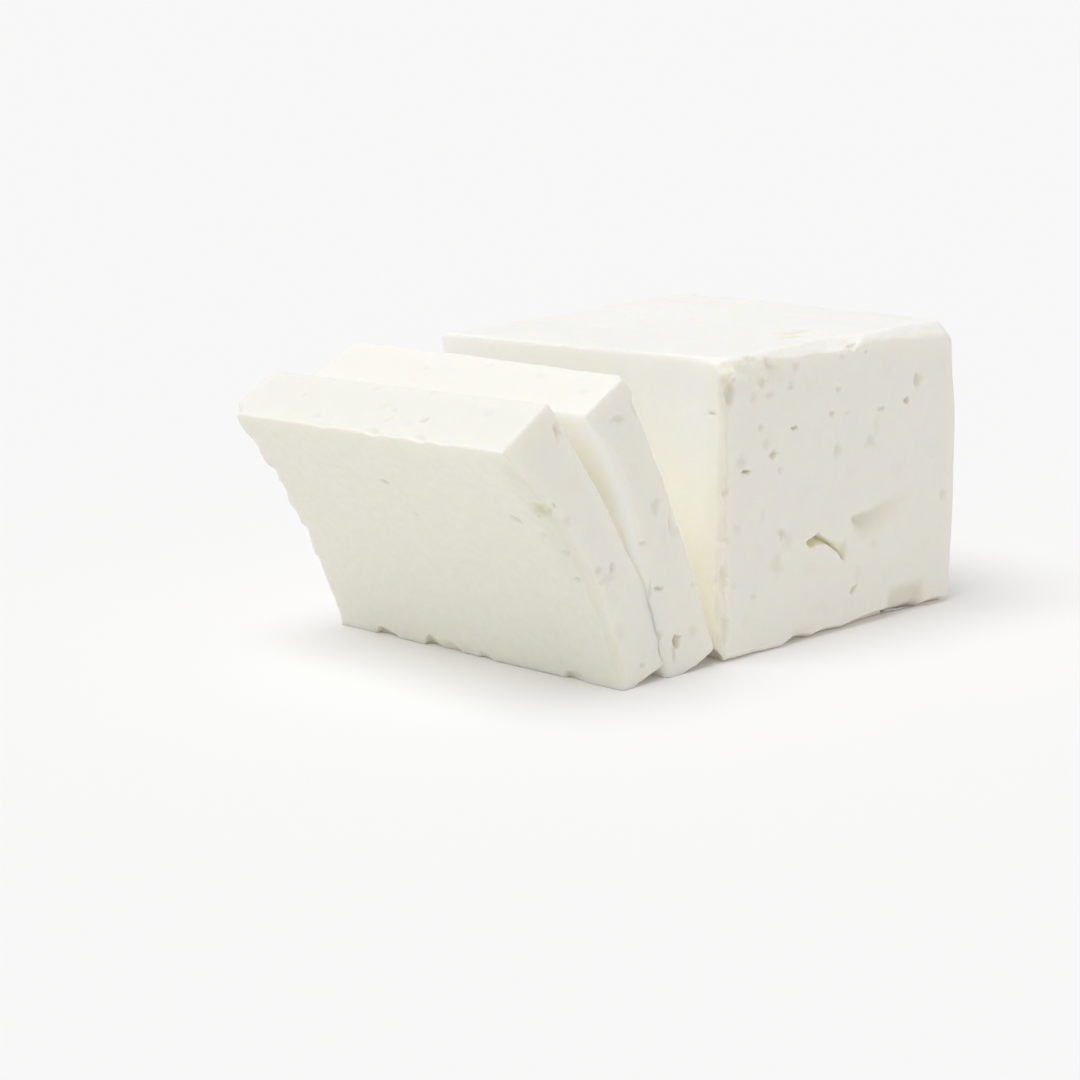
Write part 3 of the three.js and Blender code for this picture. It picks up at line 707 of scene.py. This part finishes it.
back_slice.chip((50.2, -41.2, 67.4), (0.6, 0.6, 0.3), 2.4, 1.8, 0.7, (0, 0, 1), 0.15, 471)
back_slice.chip((49.7, -29.8, 37.9), (0.7, 0.7, 0.1), 3.4, 2.0, 0.8, (0, 0, 1), 0.15, 472)
back_slice.chip((50.0, -44.5, 74.2), (0.5, 0.6, 0.7), 3.4, 2.8, 0.9, (1, 0, 0), 0.12, 473)
# The far outline of the front slice breaks away in steps.
for z, depth, rz, seed in ((57.0, 0.9, 4.0, 481), (51.0, 1.0, 3.2, 482), (44.2, 1.9, 1.8, 483), (38.0, 0.6, 3.5, 484), (31.0, 1.1, 4.0, 485), (24.0, 0.7, 3.0, 486), (18.0, 0.9, 2.6, 487)):
    y = front_y(FRONT_SLICE, np.array([-EDGE]), np.array([z]))[0] + CUT_FACE_Y
    front_slice.chip((-49.6, y, z), (-0.75, -0.6, -0.2), rz, 3.0, depth, (0, -0.5, 0.85), 0.2, seed)
front_slice.chip((-49.6, -70.5, 68.6), (-0.6, 0.3, 0.75), 4.0, 4.5, 1.4, (0, 1, 0.3), 0.2, 488)
front_slice.chip((-47.0, -83.6, 61.0), (-0.6, -0.5, 0.6), 2.5, 2.5, 0.7, (1, 0, 0), 0.15, 489)
# Small steps in the front slice's upper front edge.
for x, depth, seed in ((-14.0, 0.5, 490), (5.0, 0.9, 491), (12.0, 0.5, 492), (21.4, 0.9, 493), (30.0, 0.5, 494)):
    front_slice.chip((x, -84.2, 62.0), (0, -0.7, 0.7), 3.0, 1.6, depth, (1, 0, 0), 0.12, seed, 0.0)

for curd, face, seed in ((front_slice, FRONT_SLICE, 501), (back_slice, BACK_SLICE, 601)):
    mid = curd.base.mean(0)
    low, high = curd.base.min(0), curd.base.max(0)
    scatter(curd, FAR, (-EDGE, low[1] + 12, 8), (-EDGE, high[1] - 8, high[2] - 8), 14, seed)
    scatter(curd, BACK, (-44, mid[1], 8), (30, mid[1] + 6, 60), 8, seed + 20)

    def corner(which, x, s, face=face):
        y, z = face_at(face, face[which], np.array([float(x)]), s)
        return (x, float(y[0]) + CUT_FACE_Y, max(float(z[0]), 0.3))

    crumble_edge(curd, corner("front", -EDGE, 0.05), corner("front", -EDGE, 0.95), (-0.7, -0.7, 0), 7, 0.7, seed + 60)
    crumble_edge(curd, corner("back", -EDGE, 0.05), corner("back", -EDGE, 0.95), (-0.7, 0.7, 0), 8, 0.8, seed + 70)
    crumble_edge(curd, corner("front", -46, 0.0), corner("front", 46, 0.0), (0, -0.8, -0.4), 9, 0.7, seed + 100)
    crumble_edge(curd, corner("back", -46, 0.0), corner("back", 46, 0.0), (0, 0.6, -0.7), 9, 0.9, seed + 110)
scatter(back_slice, FRONT, (-44, -52, 8), (30, -40, 56), 7, 681)

# Painted shade on the front slice's rounded front-near edge.
edge = smooth(-front_slice.side[:, 1], 0.1, 0.45) * smooth(front_slice.side[:, 0], 0.1, 0.4) * (1 - smooth(front_slice.side[:, 2], 0.1, 0.5))
front_slice.shade = np.maximum(front_slice.shade, 0.55 * edge)
# Painted shade on the front slice's front face, deepening toward the near edge and above its foot, fading near its top.
wear_and_painted_shade = front_cut * (front_slice.side[:, 1] < 0) * (1 - smooth(EDGE - front_slice.base[:, 0], 1.0, 11.0))
front_slice.shade = np.maximum(front_slice.shade, wear_and_painted_shade * (0.25 + 0.6 * smooth(front_slice.base[:, 2], 22, 38)) * (1 - smooth(front_slice.base[:, 2], 56, 63)))
for curd, cling in ((front_slice, front_cling), (back_slice, back_cling)):
    # Olive painted shade in the crease where each slice clings to its neighbour.
    seam = cling * bell(curd.rim, 0.45) * smooth(curd.side[:, 0], 0.2, 0.6)
    curd.painted_olive_shade = np.maximum(curd.painted_olive_shade, 0.4 * seam)
    facing = curd.side[:, 1] * (1 if curd is front_slice else -1)
    curd.glow = smooth(facing, 0.45, 0.9) * smooth(curd.base[:, 2], 24, 34) * (1 - smooth(EDGE - curd.base[:, 0], 16, 40))

for curd, stop in ((front_slice, stop_at_back_slice), (back_slice, stop_at_block)):
    p = curd.points
    p[:, 2] = np.maximum(p[:, 2], 0)
    p[:, 1] = np.minimum(p[:, 1], stop(p[:, 0], p[:, 2]) + CUT_FACE_Y + 0.06)

# ---------------------------------------------------------------- the material


def cheese():
    material = bpy.data.materials.new("white_brined_cheese")
    material.use_nodes = True
    tree = material.node_tree
    tree.nodes.clear()
    link = tree.links.new

    def node(kind, **inputs):
        made = tree.nodes.new(kind)
        for key, value in inputs.items():
            made.inputs[key.replace("_", " ")].default_value = value
        return made

    place = node("ShaderNodeTexCoord").outputs["Object"]
    out = node("ShaderNodeOutputMaterial")
    shader = node("ShaderNodeBsdfPrincipled")
    link(shader.outputs["BSDF"], out.inputs["Surface"])

    def lumps(scale, detail, roughness):
        made = node("ShaderNodeTexNoise", Scale=scale, Detail=detail, Roughness=roughness)
        link(place, made.inputs["Vector"])
        return made.outputs["Fac"]

    def blend(factor, a, b):
        made = tree.nodes.new("ShaderNodeMix")
        made.data_type = "RGBA"
        for socket, value in ((made.inputs[0], factor), (made.inputs[6], a), (made.inputs[7], b)):
            if isinstance(value, (int, float)):
                socket.default_value = value
            elif isinstance(value, tuple):
                socket.default_value = value + (1.0,)
            else:
                link(value, socket)
        return made.outputs[2]

    def ramp(value, low, high, start=0.0, end=1.0):
        made = tree.nodes.new("ShaderNodeMapRange")
        made.clamp = True
        for key, number in zip(("From Min", "From Max", "To Min", "To Max"), (low, high, start, end)):
            made.inputs[key].default_value = number
        link(value, made.inputs["Value"])
        return made.outputs["Result"]

    def attribute(name):
        made = tree.nodes.new("ShaderNodeAttribute")
        made.attribute_name = name
        return made.outputs["Fac"]

    def times(a, b):
        made = tree.nodes.new("ShaderNodeMath")
        made.operation = "MULTIPLY"
        for socket, value in zip(made.inputs, (a, b)):
            if isinstance(value, (int, float)):
                socket.default_value = value
            else:
                link(value, socket)
        return made.outputs[0]

    patches = ramp(lumps(52.0, 3.0, 0.55), 0.36, 0.64)
    freckle = ramp(lumps(420.0, 3.0, 0.6), 0.35, 0.68)
    colour = blend(patches, (0.948, 0.892, 0.822), (0.939, 0.900, 0.813))
    # Painted shade with a creamier tone on the block's cut face and the front slice's front face.
    colour = blend(attribute("painted_cream_shade"), colour, (0.857, 0.844, 0.750))
    # Painted light: a brighter colour on cut faces, brightest high on the block's cut face and on the slices' faces
    # into the gap.
    colour = blend(attribute("cut_painted_light"), colour, (0.992, 0.983, 0.923))
    colour = blend(times(freckle, 0.3), colour, (0.965, 0.935, 0.870))
    # Painted light: upward faces whiter.
    colour = blend(attribute("upper"), colour, (0.982, 0.976, 0.905))
    # Painted shade on the slices' upper faces.
    colour = blend(attribute("painted_top_shade"), colour, (0.867, 0.862, 0.800))
    # Olive painted shade in deep hollows, the crack and the slices' seam.
    colour = blend(times(attribute("painted_olive_shade"), 0.8), colour, (0.80, 0.772, 0.49))
    # Grey painted shade in dents, hollows and along edges.
    colour = blend(times(attribute("shade"), 0.60), colour, (0.745, 0.728, 0.622))
    link(colour, shader.inputs["Base Color"])
    link(ramp(lumps(260.0, 2.0, 0.5), 0.3, 0.7, 0.46, 0.62), shader.inputs["Roughness"])
    shader.inputs["IOR"].default_value = 1.42
    # Light shows through the curd further where the slices stand apart.
    link(ramp(attribute("glow"), 0.0, 1.0, 0.6, 1.0), shader.inputs["Subsurface Weight"])
    link(ramp(attribute("glow"), 0.0, 1.0, 0.0032, 0.0100), shader.inputs["Subsurface Scale"])
    shader.inputs["Subsurface Radius"].default_value = (1.0, 0.85, 0.55)

    fine = node("ShaderNodeBump", Strength=0.22, Distance=0.00022)
    link(lumps(1100.0, 2.0, 0.6), fine.inputs["Height"])
    bump = node("ShaderNodeBump", Strength=0.20, Distance=0.00045)
    link(lumps(330.0, 1.0, 0.5), bump.inputs["Height"])
    link(fine.outputs["Normal"], bump.inputs["Normal"])
    link(bump.outputs["Normal"], shader.inputs["Normal"])
    return material


white = cheese()
height = block.base[:, 2]
flat_cut = smooth(-block.side[:, 1], 0.75, 0.98)
outer = front_slice.side[:, 1] < 0
front_crown, back_crown = (smooth(curd.normal[:, 2], 0.45, 0.85) for curd in (front_slice, back_slice))
# Per piece: painted light on cut faces, rising up the block's cut face and strongest on the slices' faces into the gap
# between them; painted cream shade on the block's cut face and the front slice's front face; painted shade on the
# slices' upper faces.
for curd, node, triangles, cut_painted_light, painted_cream_shade, pale, painted_top_shade in (
    (block, "block", 194000, flat_cut * (0.16 + 0.84 * np.clip((height - 20) / 42, 0, 1)), flat_cut, 1.0, 0 * height),
    (back_slice, "slice_back", 150000, back_cut * np.where(back_slice.side[:, 1] < 0, 1.0, 0.7), 0 * back_cut, 0.75, 0.5 * back_crown),
    (front_slice, "slice_front", 150000, front_cut * ~outer, front_cut * outer, 0.0, front_crown),
):
    piece = as_object(curd, node + "_curd", triangles, cut_painted_light, painted_cream_shade, pale, painted_top_shade)
    piece.data.materials.append(white)
    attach(piece, "root")
    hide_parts(node)

# ---------------------------------------------------------------- floor, light and camera

FLOOR = 0.915
floor_mesh = bpy.data.meshes.new("floor")
half = 60.0
floor_mesh.from_pydata(
    [(-half, -half, 0), (half, -half, 0), (half, half, 0), (-half, half, 0)], [], [(0, 1, 2, 3)]
)
floor = bpy.data.objects.new("floor", floor_mesh)
bpy.context.scene.collection.objects.link(floor)
floor.location.z = -0.00005
pale = bpy.data.materials.new("pale_floor")
pale.use_nodes = True
pale_shader = pale.node_tree.nodes["Principled BSDF"]
pale_shader.inputs["Base Color"].default_value = (FLOOR, FLOOR, FLOOR, 1)
pale_shader.inputs["Roughness"].default_value = 0.9
pale_shader.inputs["Specular IOR Level"].default_value = 0.0
floor_mesh.materials.append(pale)

scene = bpy.context.scene
DOME = np.array([1.0, 0.985, 0.955]) * 0.57
KEY = np.array([0.985, 1.0, 1.035]) * 1.54
KEY_FROM = unit((-0.06, -0.34, 0.94))
floor_light = FLOOR * (DOME + KEY * KEY_FROM[2] / math.pi)

world = bpy.data.worlds.new("studio")
scene.world = world
world.use_nodes = True
tree = world.node_tree
tree.nodes.clear()
dome = tree.nodes.new("ShaderNodeBackground")
dome.inputs["Color"].default_value = (*DOME, 1)
backdrop = tree.nodes.new("ShaderNodeBackground")
backdrop.inputs["Color"].default_value = (*floor_light, 1)
seen = tree.nodes.new("ShaderNodeLightPath")
either = tree.nodes.new("ShaderNodeMixShader")
sky = tree.nodes.new("ShaderNodeOutputWorld")
tree.links.new(seen.outputs["Is Camera Ray"], either.inputs["Fac"])
tree.links.new(dome.outputs["Background"], either.inputs[1])
tree.links.new(backdrop.outputs["Background"], either.inputs[2])
tree.links.new(either.outputs["Shader"], sky.inputs["Surface"])

lamp = bpy.data.lights.new("key", "SUN")
lamp.energy = 1.54
lamp.color = KEY / 1.54
lamp.angle = math.radians(45)
key = bpy.data.objects.new("key", lamp)
key.rotation_euler = Vector(KEY_FROM).to_track_quat("Z", "Y").to_euler()
scene.collection.objects.link(key)

scene.cycles.max_bounces = 20
scene.cycles.diffuse_bounces = 16
scene.view_settings.view_transform = "Standard"
scene.view_settings.look = "None"
scene.view_settings.exposure = 0.0
scene.view_settings.gamma = 1.0

ahead = unit((-0.69902, 0.68393, -0.20885))
right = unit((0.69935, 0.71478, 0.0))
up = np.cross(right, ahead)
roll = -0.007
level_right = right * math.cos(roll) + up * math.sin(roll)
level_up = up * math.cos(roll) - right * math.sin(roll)
lens = bpy.data.cameras.new("camera")
lens.sensor_width = 36.0
lens.sensor_fit = "HORIZONTAL"
lens.lens = 36.0 * 2329.98 / 1080
lens.clip_start = 0.01
lens.clip_end = 300.0
camera = bpy.data.objects.new("camera", lens)
scene.collection.objects.link(camera)
stand = np.eye(4)
stand[:3, 0], stand[:3, 1], stand[:3, 2] = level_right, level_up, -ahead
stand[:3, 3] = (0.41520, -0.43056, 0.14992)
camera.matrix_world = Matrix(stand.tolist())
scene.camera = camera
